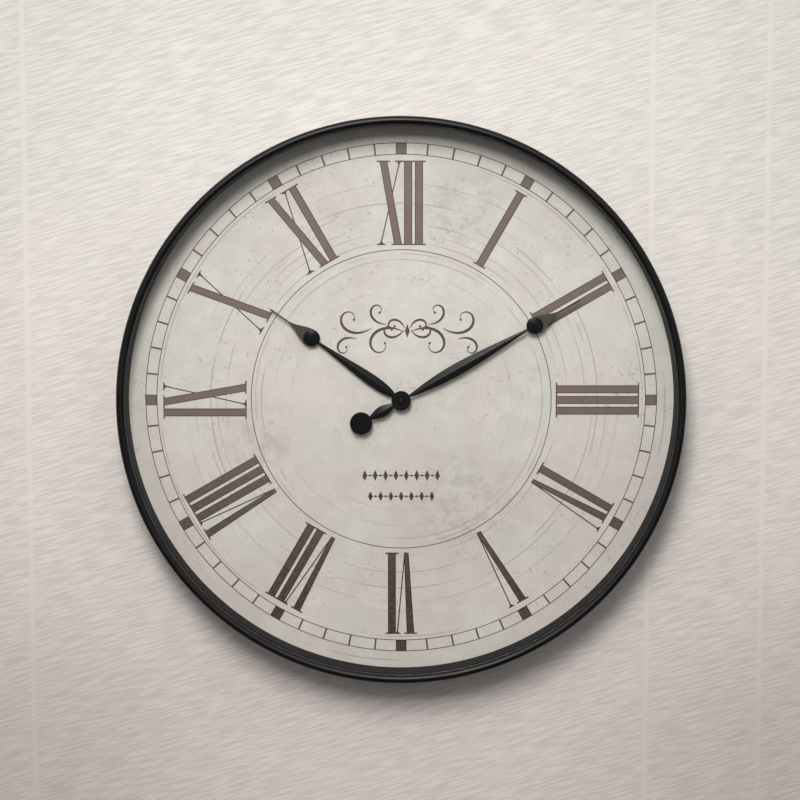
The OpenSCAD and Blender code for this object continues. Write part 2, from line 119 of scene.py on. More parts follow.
# ---- Sizes of the dial print ----
TRACK_OUT = 273.0
TRACK_IN = 261.0
INNER_RING = 160.3
NUMERAL_FOOT = 165.2
NUMERAL_HEAD = 254.3
BAR_W = 8.6
BAR_GAP = 2.9
SERIF_OUT = 2.9
SERIF_T = 1.5
HAIR_W = 1.25
BLOCK_W = 11.5
TICK_W = 1.9
LINE_W = 0.9
OUTLINE_W = 0.95
INK_Z = 0.06
FILL_Z = 0.12
INK_BASE = FACE_Z - 0.05
LAYER_STEP = 0.004
RING_STEPS = 480
TRACK_STEPS = 720
V_HEAD_W = 8.3
V_FOOT = (6.3, 11.3)
V_FLARE = (14.8, 21.6)
V_HAIR = (10.6, 18.2)
V_ADVANCE = 20.0
X_HEAD_W = 8.2
X_FOOT = (15.6, 24.0)
X_FLARE_HEAD = (16.0, 25.4)
X_FLARE_FOOT = (-3.0, 6.8)
X_HAIR = (2.0, 20.8)
X_ADVANCE = 26.0

# ---- Ornaments in place of the lettering ----
# The vine's middle, and the strokes of its right half: start (x, y) from the middle, heading, which way it
# winds, length and width. The left half mirrors them.
VINE_MIDDLE = 6.5
VINE_LEVEL = 74.0
VINE_STROKES = ((4, -1, 30, -1, 74, 1.7), (22, 7, -2, 1, 46, 1.3), (38, 3, -36, 1, 66, 1.6))
VINE_STROKES += ((54, -9, 24, -1, 44, 1.3), (4, 1, -60, 1, 40, 1.3), (3, 3, 72, -1, 34, 1.2))
LOZENGE_HALF = 2.6
VINE_LOZENGE_H = 7.5
# Each chain's level, half width, number of lozenges and their half height.
CHAINS = ((-81.5, 39, 8, 6.0), (-104, 33, 7, 5.4))

# ---- Ageing of the face: faint part circles (radius, depth) and smudges (x, y, reach) ----
GHOST_RINGS = ((118, 0.5), (136, 0.4), (150, 0.9), (156, 0.8), (168, 0.9), (178, 0.7), (187, 0.9))
GHOST_RINGS += ((196, 0.8), (204, 1.1), (210, 1.0), (219, 0.7), (230, 0.6), (258, 0.9), (282, 1.0))
SMUDGES = ((62, -112, 95), (64, 205, 62), (-150, -40, 60))

# ---- Places of the wall's upright seams, in metres ----
WALL_SEAMS = (-0.403, 0.268, 0.392)


def placed(x, y, z):
    """A point drawn in millimetres on the wall, in the row frame."""
    return Vector((x * MM, -z * MM, y * MM))


def srgb(red, green, blue):
    """Linear colour of an 8-bit display colour."""
    def linear(c):
        c /= 255
        return c / 12.92 if c <= 0.04045 else ((c + 0.055) / 1.055) ** 2.4
    return (linear(red), linear(green), linear(blue), 1.0)


# ---- Mesh helpers ----


def piece(name, points, faces, material, body, smooth_angle=None):
    """A mesh object made of row-frame points, which rides on a body."""
    mesh = bpy.data.meshes.new(name)
    mesh.from_pydata([tuple(p) for p in points], [], faces)
    mesh.validate()
    if smooth_angle is not None:
        mesh.shade_smooth()
        mesh.set_sharp_from_angle(angle=math.radians(smooth_angle))
    mesh.materials.append(material)
    obj = bpy.data.objects.new(name, mesh)
    bpy.context.collection.objects.link(obj)
    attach(obj, body)
    return obj


def around(profile, steps, centre):
    """Points of a profile of (radius, height), turned in equal steps about the centre's axis."""
    points = []
    for k in range(steps):
        a = 2 * math.pi * k / steps
        for r, z in profile:
            points.append(placed(centre[0] + r * math.sin(a), centre[1] + r * math.cos(a), z))
    return points


class Shape:
    """Points and faces gathered from several closed solids."""

    def __init__(self):
        self.points = []
        self.faces = []

    def add(self, points, faces):
        first = len(self.points)
        self.points += points
        self.faces += [tuple(first + i for i in face) for face in faces]

    def slab(self, outline, z0, z1):
        """A flat outline, counterclockwise seen from the front, raised from z0 to z1."""
        n = len(outline)
        points = [placed(x, y, z) for z in (z0, z1) for x, y in outline]
        faces = [tuple(reversed(range(n))), tuple(range(n, 2 * n))]
        faces += [(i, (i + 1) % n, n + (i + 1) % n, n + i) for i in range(n)]
        self.add(points, faces)

    def band(self, inner, outer, z0, z1, steps=TRACK_STEPS):
        """A flat ring about the dial axis."""
        self.spin([(inner, z0), (outer, z0), (outer, z1), (inner, z1)], steps)

    def spin(self, profile, steps=360, centre=(0, 0)):
        """A closed profile of (radius, height), counterclockwise, turned about the centre's axis."""
        n = len(profile)
        points = around(profile, steps, centre)
        faces = []
        for k in range(steps):
            here, there = k * n, (k + 1) % steps * n
            faces += [(here + i, there + i, there + (i + 1) % n, here + (i + 1) % n) for i in range(n)]
        self.add(points, faces)

    def dome(self, profile, steps=96, centre=(0, 0)):
        """An open profile of (radius, height) that starts and ends on the axis, turned into a solid."""
        rings = profile[1:-1]
        n = len(rings)
        points = [placed(*centre, profile[0][1]), placed(*centre, profile[-1][1])]
        points += around(rings, steps, centre)
        faces = []
        for k in range(steps):
            here, there = 2 + k * n, 2 + (k + 1) % steps * n
            faces.append((0, there, here))
            faces += [(here + i, there + i, there + i + 1, here + i + 1) for i in range(n - 1)]
            faces.append((1, here + n - 1, there + n - 1))
        self.add(points, faces)

    def loft(self, sections):
        """Closed sections of equal length, joined in order, with both ends capped."""
        n = len(sections[0])
        points = [p for section in sections for p in section]
        faces = [tuple(range(n)), tuple(reversed(range(len(points) - n, len(points))))]
        for k in range(len(sections) - 1):
            here, there = k * n, (k + 1) * n
            faces += [(here + i, there + i, there + (i + 1) % n, here + (i + 1) % n) for i in range(n)]
        self.add(points, faces)

    def ribbon(self, path, half_widths, z0, z1):
        """A flat stroke of changing width along a path."""
        sections = []
        for i, (x, y) in enumerate(path):
            along = Vector(path[min(i + 1, len(path) - 1)]) - Vector(path[max(i - 1, 0)])
            side = Vector((-along.y, along.x)).normalized() * half_widths[i]
            corners = ((1, z0), (-1, z0), (-1, z1), (1, z1))
            sections.append([placed(x + sign * side.x, y + sign * side.y, z) for sign, z in corners])
        self.loft(sections)

    def to_piece(self, name, material, body, smooth_angle=None):
        return piece(name, self.points, self.faces, material, body, smooth_angle)


def arc(centre, radius, start, end, steps):
    """Points (radius, height) on an arc, with angles in degrees from the outward direction."""
    angles = [math.radians(start + (end - start) * i / steps) for i in range(steps + 1)]
    return [(centre[0] + radius * math.cos(a), centre[1] + radius * math.sin(a)) for a in angles]


def turned(outline, angle):
    """An outline drawn at 12 o'clock, turned clockwise to its place on the dial."""
    c, s = math.cos(math.radians(angle)), math.sin(math.radians(angle))
    return [(x * c + y * s, y * c - x * s) for x, y in outline]


# ---- Material helpers ----


class Shader:
    """A node material with a Principled BSDF, and short calls for the nodes round it."""

    def __init__(self, name, color=(0.8, 0.8, 0.8, 1), roughness=0.5, metallic=0.0, **values):
        self.material = bpy.data.materials.new(name)
        self.material.use_nodes = True
        self.nodes = self.material.node_tree.nodes
        self.links = self.material.node_tree.links
        self.bsdf = self.nodes["Principled BSDF"]
        self.set("Base Color", color)
        self.set("Roughness", roughness)
        self.set("Metallic", metallic)
        for socket, value in values.items():
            self.set(socket.replace("_", " ").title().replace("Ior", "IOR"), value)
        self.place = self.node("ShaderNodeTexCoord").outputs["Object"]

    def set(self, socket, value):
        """Puts a value on a socket of the BSDF, or links another socket to it."""
        target = self.bsdf.inputs[socket]
        if isinstance(value, bpy.types.NodeSocket):
            self.links.new(value, target)
        else:
            target.default_value = value

    def node(self, kind, inputs=(), **settings):
        """A new node, with its settings and with values or sockets put on its inputs."""
        made = self.nodes.new(kind)
        for key, value in settings.items():
            setattr(made, key, value)
        for key, value in dict(inputs).items():
            if isinstance(value, bpy.types.NodeSocket):
                self.links.new(value, made.inputs[key])
            else:
                made.inputs[key].default_value = value
        return made

    def noise(self, scale, detail=3.0, roughness=0.55, where=None, distortion=0.0):
        values = {"Vector": where or self.place, "Scale": scale, "Detail": detail,
                  "Roughness": roughness, "Distortion": distortion}
        return self.node("ShaderNodeTexNoise", values).outputs[0]

    def stretched(self, x, y, z, turn=0.0):
        """Object coordinates, turned about the dial axis and then scaled along each axis."""
        values = {"Vector": self.place, "Rotation": (0, math.radians(turn), 0)}
        turned_place = self.node("ShaderNodeMapping", values).outputs[0]
        return self.node("ShaderNodeMapping", {"Vector": turned_place, "Scale": (x, y, z)}).outputs[0]

    def maths(self, operation, first, second=0.0, clamp=False):
        made = self.node("ShaderNodeMath", {0: first, 1: second}, operation=operation)
        made.use_clamp = clamp
        return made.outputs[0]

    def length(self, x, y):
        squares = [self.maths("MULTIPLY", v, v) for v in (x, y)]
        return self.maths("SQRT", self.maths("ADD", *squares))

    def step(self, value, low, high, out_low=0.0, out_high=1.0):
        """A smooth step of value from low to high."""
        values = {"Value": value, "From Min": low, "From Max": high, "To Min": out_low, "To Max": out_high}
        made = self.node("ShaderNodeMapRange", values, interpolation_type="SMOOTHSTEP")
        return made.outputs[0]

    def mix(self, factor, first, second, blend="MIX"):
        values = {0: factor, 6: first, 7: second}
        return self.node("ShaderNodeMix", values, data_type="RGBA", blend_type=blend).outputs[2]

    def multiplied(self, color, value):
        """A colour times a grey value."""
        tint = self.node("ShaderNodeCombineColor", {0: value, 1: value, 2: value}).outputs[0]
        return self.mix(1.0, color, tint, "MULTIPLY")

    def bump(self, height, strength, distance):
        values = {"Height": height, "Strength": strength, "Distance": distance}
        self.set("Normal", self.node("ShaderNodeBump", values).outputs[0])

    def drift_base_colour(self, base, other, scale, low=0.35, high=0.65):
        """Base colour that drifts between two colours with a noise."""
        factor = self.step(self.noise(scale), low, high)
        self.set("Base Color", self.mix(factor, base, other))


def grey(value):
    return (value, value, value, 1.0)


def scaled(color, factor):
    return tuple(c * factor for c in color[:3]) + (1.0,)


# ---- Materials ----


def rim_black():
    s = Shader("rim_black", grey(0.003), 0.36, specular_ior_level=0.26)
    s.drift_base_colour((0.0020, 0.0021, 0.0024, 1), (0.0032, 0.0032, 0.0036, 1), 9)
    s.set("Roughness", s.step(s.noise(14, 2), 0.3, 0.7, 0.34, 0.42))
    return s.material


def spacer_dark():
    s = Shader("spacer_dark", grey(0.01), 0.6, specular_ior_level=0.12)
    s.drift_base_colour(srgb(12, 12, 14), srgb(18, 18, 20), 40)
    s.bump(s.noise(900, 4), 0.25, 0.0002)
    return s.material


def gasket_black():
    s = Shader("gasket_black", grey(0.012), 0.85)
    s.drift_base_colour(grey(0.010), grey(0.018), 120)
    s.bump(s.noise(1800, 3), 0.5, 0.0003)
    return s.material


def clear_glass():
    """Flat glass. Light passes straight through, and the outer side mirrors a little, more at a low angle."""
    s = Shader("clear_glass")
    s.nodes.remove(s.bsdf)
    clear = s.node("ShaderNodeBsdfTransparent", {"Color": (0.985, 0.99, 0.985, 1)})
    smear = s.step(s.noise(9, 4), 0.35, 0.75, 0.02, 0.06)
    gloss = s.node("ShaderNodeBsdfGlossy", {"Color": (1, 1, 1, 1), "Roughness": smear})
    fresnel = s.node("ShaderNodeFresnel", {"IOR": 1.42})
    outer = s.maths("SUBTRACT", 1.0, s.node("ShaderNodeNewGeometry").outputs["Backfacing"])
    factor = s.maths("MULTIPLY", s.maths("MULTIPLY", fresnel.outputs[0], outer), 1.1)
    surface = s.node("ShaderNodeMixShader", {0: factor, 1: clear.outputs[0], 2: gloss.outputs[0]})
    s.links.new(surface.outputs[0], s.nodes["Material Output"].inputs["Surface"])
    return s.material


def aged_paper():
    """Printed face: warm grey with cloudy tints, specks and faint part circles, and painted light and shade:
    lighter at the top, darker at the foot.
    """
    s = Shader("aged_paper", grey(0.5), 0.6, specular_ior_level=0.25)
    split = s.node("ShaderNodeSeparateXYZ", {0: s.place})
    x, z = split.outputs["X"], split.outputs["Z"]
    radius = s.length(x, z)
    # Painted light and shade: the face is painted lighter at the top and darker at the foot.
    painted_lit_top, painted_shaded_foot = srgb(219, 213, 207), srgb(206, 196, 191)
    green, pink = srgb(210, 208, 199), srgb(214, 202, 198)
    color = s.mix(s.step(z, -0.16, 0.12), painted_shaded_foot, painted_lit_top)
    color = s.mix(s.maths("MULTIPLY", s.step(s.noise(11, 3), 0.45, 0.62), 0.6), color, green)
    color = s.mix(s.maths("MULTIPLY", s.step(s.noise(15, 2), 0.5, 0.66), 0.6), color, pink)
    cloud = s.step(s.noise(48, 5, 0.62), 0.3, 0.75, 0.93, 1.03)
    color = s.multiplied(color, cloud)
    for layer, (ring, depth) in enumerate(GHOST_RINGS):
        place = {0: s.maths("DIVIDE", x, radius), 1: 7.0 * layer, 2: s.maths("DIVIDE", z, radius)}
        around = s.node("ShaderNodeCombineXYZ", place).outputs[0]
        sway = s.maths("MULTIPLY", s.noise(0.6, 1, where=around), 6 * MM)
        away = s.maths("ABSOLUTE", s.maths("SUBTRACT", s.maths("SUBTRACT", radius, sway), (ring - 3) * MM))
        line = s.step(away, 0.35 * MM, 1.1 * MM, 0.37 * depth, 0.0)
        broken = s.step(s.noise(1.9, 3, where=around), 0.47, 0.6)
        color = s.mix(s.maths("MULTIPLY", line, broken), color, srgb(112, 104, 96))
    rubbed = s.step(s.noise(95, 5, 0.7), 0.42, 0.62)
    for at_x, at_z, reach in SMUDGES:
        away = s.length(s.maths("SUBTRACT", x, at_x * MM), s.maths("SUBTRACT", z, at_z * MM))
        spot = s.step(away, 0.15 * reach * MM, reach * MM, 0.38, 0.0)
        color = s.mix(s.maths("MULTIPLY", spot, rubbed), color, srgb(152, 146, 136))
    grain = s.step(s.noise(620, 2, 0.6), 0.3, 0.7, 0.965, 1.025)
    color = s.multiplied(color, grain)
    specks = s.step(s.noise(260, 2, 0.5), 0.62, 0.72)
    patches = s.step(s.noise(13, 2, where=s.stretched(1, 1, 1.3)), 0.42, 0.62)
    color = s.mix(s.maths("MULTIPLY", s.maths("MULTIPLY", specks, patches), 0.36), color, srgb(112, 102, 90))
    outside = s.step(radius, (TRACK_OUT - 1) * MM, (TRACK_OUT + 0.5) * MM)
    color = s.mix(outside, color, s.mix(1.0, color, (0.95, 0.955, 0.95, 1), "MULTIPLY"))
    s.set("Base Color", color)
    s.bump(s.noise(1500, 3), 0.08, 0.0001)
    return s.material


def print_ink(name, low, high):
    """Ink with painted light and shade: lighter towards the top of the dial and darkest at its foot, with a
    mottled cover.
    """
    s = Shader(name, low, 0.6, specular_ior_level=0.3)
    height = s.node("ShaderNodeSeparateXYZ", {0: s.place}).outputs["Z"]
    # Painted light and shade: the ink is painted darker towards the foot of the dial and lighter towards the
    # top.
    color = s.mix(s.step(height, -0.24, 0.06), low, high)
    mottle = s.step(s.noise(230, 4, 0.6), 0.3, 0.72)
    s.set("Base Color", s.mix(s.maths("MULTIPLY", mottle, 0.22), color, scaled(high, 1.35)))
    return s.material


def hand_black():
    s = Shader("hand_black", grey(0.003), 0.3, specular_ior_level=0.15)
    s.drift_base_colour(grey(0.0018), (0.0034, 0.0036, 0.004, 1), 70)
    return s.material


def boss_black():
    s = Shader("boss_black", grey(0.002), 0.3, specular_ior_level=0.1)
    s.drift_base_colour((0.0012, 0.0013, 0.002, 1), (0.0024, 0.0025, 0.0034, 1), 160)
    return s.material


def spade_painted_sheen():
    s = Shader("spade_painted_sheen", grey(0.03), 0.5, specular_ior_level=0.3)
    # Painted sheen: the spade is the same black as the leaf, given a lighter grey that stands for the light
    # it reflects.
    s.drift_base_colour(srgb(56, 56, 50), srgb(66, 66, 59), 130)
    return s.material


def cap_black():
    s = Shader("cap_black", grey(0.003), 0.34, specular_ior_level=0.14)
    s.drift_base_colour((0.0018, 0.0018, 0.0026, 1), (0.003, 0.003, 0.004, 1), 300)
    return s.material


def fibre_board():
    s = Shader("fibre_board", grey(0.2), 0.85)
    s.drift_base_colour(srgb(150, 117, 82), srgb(168, 134, 97), 30)
    fibres = s.noise(60, 6, 0.7, where=s.stretched(14, 14, 3))
    dark = s.step(fibres, 0.45, 0.7)
    base = s.bsdf.inputs["Base Color"].links[0].from_socket
    s.set("Base Color", s.mix(s.maths("MULTIPLY", dark, 0.35), base, srgb(118, 88, 58)))
    s.bump(fibres, 0.35, 0.0003)
    return s.material


def metal_shader(name, color, other, roughness):
    s = Shader(name, color, roughness, 1.0)
    s.drift_base_colour(color, other, 45)
    return s


def metal(name, color, other, roughness, grain=(1, 1, 1)):
    """Metal with a drawn or brushed grain."""
    s = metal_shader(name, color, other, roughness)
    lines = s.noise(220, 4, 0.6, where=s.stretched(*grain))
    s.set("Roughness", s.step(lines, 0.25, 0.75, roughness - 0.08, roughness + 0.12))
    s.bump(lines, 0.12, 0.0001)
    return s.material


def plastic(name, color, other, roughness, grain=1900, strength=0.18):
    s = Shader(name, color, roughness)
    s.drift_base_colour(color, other, 90)
    s.bump(s.noise(grain, 3), strength, 0.0001)
    return s.material


def cell_sleeve():
    """Plain sleeve of a round cell: blue-grey with a pale band at the positive end, and steel ends."""
    s = Shader("cell_sleeve", srgb(70, 84, 104), 0.32)
    low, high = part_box("battery")
    length = high.x - low.x
    along = s.node("ShaderNodeSeparateXYZ", {0: s.place}).outputs["X"]
    band = s.step(along, low.x + 0.80 * length, low.x + 0.81 * length)
    positive = s.step(along, low.x + 0.955 * length, low.x + 0.96 * length)
    negative = s.step(along, low.x + 0.2 * MM, low.x + 0.4 * MM, 1.0, 0.0)
    steel = s.maths("MAXIMUM", positive, negative)
    color = s.mix(band, srgb(70, 84, 104), srgb(196, 198, 196))
    s.set("Base Color", s.mix(steel, color, srgb(190, 188, 182)))
    s.set("Metallic", steel)
    return s.material


def wound_copper():
    s = metal_shader("wound_copper", srgb(156, 84, 46), srgb(120, 60, 32), 0.38)
    s.bump(s.noise(30, 1, where=s.stretched(120, 1, 1)), 0.5, 0.0002)
    return s.material


def wall_paint():
    """Pale wall with fine slanted brush lines and painted light and shade: lighter at the top, darker at the
    bottom, the lower sides and the edges. It is clear from behind and for shadow rays.
    """
    s = Shader("wall_paint", srgb(226, 220, 214), 0.9, specular_ior_level=0.1)
    split = s.node("ShaderNodeSeparateXYZ", {0: s.place})
    x, z = split.outputs["X"], split.outputs["Z"]
    # Painted light and shade: the wall is painted lighter at the top and darker at the bottom.
    color = s.mix(s.step(z, -0.4, 0.3), srgb(212, 203, 198), srgb(218, 214, 208))
    strokes = s.step(s.noise(1.0, 1.5, 0.5, where=s.stretched(30, 1, 480, 16)), 0.4, 0.6)
    for seam_x in WALL_SEAMS:
        seam = s.step(s.maths("ABSOLUTE", s.maths("SUBTRACT", x, seam_x)), 0.001, 0.005, 0.8, 0.0)
        strokes = s.maths("MAXIMUM", strokes, seam)
    lines = s.maths("ADD", 0.92, s.maths("MULTIPLY", strokes, 0.155))
    clouds = s.step(s.noise(7, 3), 0.3, 0.7, 0.975, 1.015)
    pattern = s.maths("MULTIPLY", lines, clouds)
    # Painted shade: darker at the lower sides and towards the edges.
    low = s.maths("MULTIPLY", s.step(z, -0.42, -0.1, 1.0, 0.0), s.step(s.maths("ABSOLUTE", x), 0.05, 0.45))
    painted_edge_shade = s.step(s.length(x, z), 0.3, 0.62)
    painted_dimming = s.maths("ADD", s.maths("MULTIPLY", low, 0.14), s.maths("MULTIPLY", painted_edge_shade, 0.13))
    shade = s.maths("MULTIPLY", pattern, s.maths("SUBTRACT", 1.0, painted_dimming))
    s.set("Base Color", s.multiplied(color, shade))
    s.bump(lines, 0.2, 0.0005)
    behind = s.node("ShaderNodeNewGeometry").outputs["Backfacing"]
    shadow = s.node("ShaderNodeLightPath").outputs["Is Shadow Ray"]
    clear = s.node("ShaderNodeBsdfTransparent")
    either = s.maths("MAXIMUM", behind, shadow)
    surface = s.node("ShaderNodeMixShader", {0: either, 1: s.bsdf.outputs[0], 2: clear.outputs[0]})
    s.links.new(surface.outputs[0], s.nodes["Material Output"].inputs["Surface"])
    return s.material


# ---- Case ----


def make_rim(material):
    """Rolled hoop: flange at the back, straight wall, hollow half-round bead and a lip on the gasket."""
    bead = (RIM_R - BEAD_R, RIM_FRONT - BEAD_R)
    outer = arc(bead, BEAD_R, 0, 180, 28)
    inner = arc(bead, BEAD_R - SHEET_T, 180, 0, 20)
    soft = 0.35
    profile = [(RIM_R - soft, RIM_BACK), (RIM_R, RIM_BACK + soft)]
    profile += outer
    profile += [(INNER_R, GASKET_Z1), (INNER_R + SHEET_T, GASKET_Z1)]
    profile += inner
    profile += [(RIM_R - SHEET_T, RIM_BACK + SHEET_T), (RIM_R - FLANGE_W, RIM_BACK + SHEET_T)]
    profile += [(RIM_R - FLANGE_W, RIM_BACK + soft), (RIM_R - FLANGE_W + soft, RIM_BACK)]
    shape = Shape()
    shape.spin(profile, RING_STEPS)
    rim = shape.to_piece("rim", material, "case", 28)
    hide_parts("case_rim")


def make_ring(name, node, inner, outer, material, soft=0.25):
    """A plain ring with softened edges, in a CAD ring's place."""
    z0, z1 = off_wall(node)
    profile = [(inner + soft, z0), (outer - soft, z0), (outer, z0 + soft), (outer, z1 - soft)]
    profile += [(outer - soft, z1), (inner + soft, z1), (inner, z1 - soft), (inner, z0 + soft)]
    shape = Shape()
    shape.spin(profile, RING_STEPS)
    ring = shape.to_piece(name, material, "case", 25)
    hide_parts(node)


def make_glass(material):
    """A flat disc with bevelled edges."""
    bevel = 0.5
    profile = [(0, GLASS_Z0), (GLASS_R - bevel, GLASS_Z0), (GLASS_R, GLASS_Z0 + bevel)]
    profile += [(GLASS_R, GLASS_Z1 - bevel), (GLASS_R - bevel, GLASS_Z1), (0, GLASS_Z1)]
    shape = Shape()
    shape.dome(profile, 360)
    glass = shape.to_piece("glass", material, "case", 20)
    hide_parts("glass_lens")


# ---- Dial print ----


def inset(outline, distance):
    """A convex outline with every side moved inwards."""
    n = len(outline)
    lines = []
    for i in range(n):
        a, b = Vector(outline[i]), Vector(outline[(i + 1) % n])
        along = (b - a).normalized()
        normal = Vector((-along.y, along.x))
        lines.append((a + normal * distance, along))
    corners = []
    for i in range(n):
        (p, d), (q, e) = lines[i - 1], lines[i]
        cross = d.x * e.y - d.y * e.x
        t = ((q.x - p.x) * e.y - (q.y - p.y) * e.x) / cross
        corners.append(tuple(p + d * t))
    return corners


def upright_stroke(left, right, foot_left, foot_right):
    """A thick stroke from head to foot, counterclockwise."""
    foot = [(foot_left, NUMERAL_FOOT), (foot_right, NUMERAL_FOOT)]
    return foot + [(right, NUMERAL_HEAD), (left, NUMERAL_HEAD)]


def serif(left, right, head):
    """A thin flat serif at the head or the foot."""
    low = NUMERAL_HEAD - SERIF_T if head else NUMERAL_FOOT
    return [(left, low), (right, low), (right, low + SERIF_T), (left, low + SERIF_T)]


def hairline(foot_x, head_x, foot_y, head_y):
    """A thin slanted stroke."""
    half = HAIR_W / 2
    foot = [(foot_x - half, foot_y), (foot_x + half, foot_y)]
    return foot + [(head_x + half, head_y), (head_x - half, head_y)]


def flare(left, right, tip_x, head):
    """Spreading end of a hairline, with hollow sides."""
    edge = NUMERAL_HEAD if head else NUMERAL_FOOT
    inward = -1 if head else 1
    lip = 0.9
    depth = 7.5
    steps = 7

    def side(start):
        points = []
        for i in range(1, steps):
            t = i / steps
            x = start + (tip_x - start) * (1 - (1 - t) ** 2.2)
            points.append((x, edge + inward * (lip + depth * t ** 1.8)))
        return points
    outline = [(right, edge), (right, edge + inward * lip)] + side(right)
    outline += list(reversed(side(left))) + [(left, edge + inward * lip), (left, edge)]
    return outline if not head else list(reversed(outline))


def glyph_i(x):
    """A bar: its thick strokes, thin strokes and width."""
    thick = [upright_stroke(x, x + BAR_W, x, x + BAR_W)]
    thin = [serif(x - SERIF_OUT, x + BAR_W + SERIF_OUT, head) for head in (True, False)]
    return thick, thin, BAR_W + BAR_GAP


def glyph_v(x):
    """A thick stroke and a hairline that meet at the foot."""
    foot_x, head_x = V_HAIR
    thick = [upright_stroke(x, x + V_HEAD_W, x + V_FOOT[0], x + V_FOOT[1])]
    thin = [serif(x - SERIF_OUT, x + V_HEAD_W + SERIF_OUT, True)]
    thin.append(flare(x + V_FLARE[0], x + V_FLARE[1], x + head_x, True))
    thin.append(hairline(x + foot_x, x + head_x, NUMERAL_FOOT + 2, NUMERAL_HEAD - 3))
    return thick, thin, V_ADVANCE


def glyph_x(x):
    """A thick stroke crossed by a hairline."""
    foot_x, head_x = X_HAIR
    thick = [upright_stroke(x, x + X_HEAD_W, x + X_FOOT[0], x + X_FOOT[1])]
    thin = [serif(x - SERIF_OUT, x + X_HEAD_W + SERIF_OUT, True)]
    thin.append(serif(x + X_FOOT[0] - SERIF_OUT, x + X_FOOT[1] + SERIF_OUT, False))
    thin.append(flare(x + X_FLARE_HEAD[0], x + X_FLARE_HEAD[1], x + head_x, True))
    thin.append(flare(x + X_FLARE_FOOT[0], x + X_FLARE_FOOT[1], x + foot_x, False))
    thin.append(hairline(x + foot_x, x + head_x, NUMERAL_FOOT + 3, NUMERAL_HEAD - 3))
    return thick, thin, X_ADVANCE


GLYPHS = {"I": glyph_i, "V": glyph_v, "X": glyph_x}
NUMERALS = ["I", "II", "III", "IV", "V", "VI", "VII", "VIII", "IX", "X", "XI", "XII"]


def shifted(outlines, distance):
    """Outlines moved sideways."""
    return [[(x + distance, y) for x, y in outline] for outline in outlines]


def numeral_strokes(numeral):
    """Thick and thin strokes of a numeral, centred on x = 0."""
    thick, thin, x = [], [], 0.0
    for letter in numeral:
        more_thick, more_thin, advance = GLYPHS[letter](x)
        thick += more_thick
        thin += more_thin
        x += advance
    xs = [p[0] for outline in thick + thin for p in outline]
    shift = (min(xs) + max(xs)) / 2
    return shifted(thick, -shift), shifted(thin, -shift)


def box_outline(x0, x1, y0, y1):
    return [(x0, y0), (x1, y0), (x1, y1), (x0, y1)]


def make_numerals(dark, fill):
    """Twelve numerals and twelve hour blocks: dark outlines with a brown fill laid on top."""
    edges, fills = Shape(), Shape()
    for hour, numeral in enumerate(NUMERALS, 1):
        angle = hour * 30
        thick, thin = numeral_strokes(numeral)
        thick.append(box_outline(-BLOCK_W / 2, BLOCK_W / 2, TRACK_IN, TRACK_OUT))
        for layer, outline in enumerate(thick + thin):
            edges.slab(turned(outline, angle), INK_BASE, FACE_Z + INK_Z + layer * LAYER_STEP)
        for layer, outline in enumerate(thick):
            top = FACE_Z + FILL_Z + layer * LAYER_STEP
            fills.slab(turned(inset(outline, OUTLINE_W), angle), INK_BASE, top)
    for name, shape, material in (("numeral_edges", edges, dark), ("numeral_fills", fills, fill)):
        shape.to_piece(name, material, "case")


def make_track(material):
    """Minute track and the ring inside the numerals."""
    shape = Shape()
    for radius in (TRACK_OUT, TRACK_IN, INNER_RING):
        shape.band(radius - LINE_W / 2, radius + LINE_W / 2, INK_BASE, FACE_Z + INK_Z / 2)
    for minute in range(60):
        if minute % 5:
            tick = box_outline(-TICK_W / 2, TICK_W / 2, TRACK_IN, TRACK_OUT)
            shape.slab(turned(tick, minute * 6), INK_BASE, FACE_Z + INK_Z)
    shape.to_piece("minute_track", material, "case")


def curl(start, heading, turn, length, wide=1.0):
    """A stroke that winds up tighter and tighter: its path and half widths, in millimetres."""
    steps = 48
    thin, swell = 0.3, 0.75
    first_bend, more_bend, reach = 0.9, 4.6, 0.42
    x, y, angle = start[0], start[1], math.radians(heading)
    path, widths = [], []
    for i in range(steps + 1):
        t = i / steps
        path.append((x, y))
        widths.append(thin + wide * math.sin(math.pi * t ** 0.8) ** 1.5 * swell)
        bend = (first_bend + more_bend * t * t) / (reach * length)
        angle += turn * bend * length / steps
        x += math.cos(angle) * length / steps
        y += math.sin(angle) * length / steps
    return path, widths


def mirrored(path, centre):
    return [(2 * centre - x, y) for x, y in path]


def round_outline(centre, radius, steps=24):
    angles = [2 * math.pi * i / steps for i in range(steps)]
    return [(centre[0] + radius * math.cos(a), centre[1] + radius * math.sin(a)) for a in angles]


def lozenge(centre, half_w, half_h):
    x, y = centre
    return [(x - half_w, y), (x, y - half_h), (x + half_w, y), (x, y + half_h)]


def add_vine(shape, high):
    """Scrolls on both sides of a lozenge. Where strokes cross, each lies a little above the last."""
    bulb = 1.3
    for layer, (x, y, heading, turn, length, wide) in enumerate(VINE_STROKES):
        start = (VINE_MIDDLE + x, VINE_LEVEL + y)
        path, widths = curl(start, heading, turn, length, wide)
        top = high + layer * LAYER_STEP
        for side in (path, mirrored(path, VINE_MIDDLE)):
            shape.ribbon(side, widths, INK_BASE, top)
            shape.slab(round_outline(side[-1], bulb), INK_BASE, top + LAYER_STEP / 2)
    middle = lozenge((VINE_MIDDLE, VINE_LEVEL), LOZENGE_HALF, VINE_LOZENGE_H)
    shape.slab(middle, INK_BASE, high + len(VINE_STROKES) * LAYER_STEP)


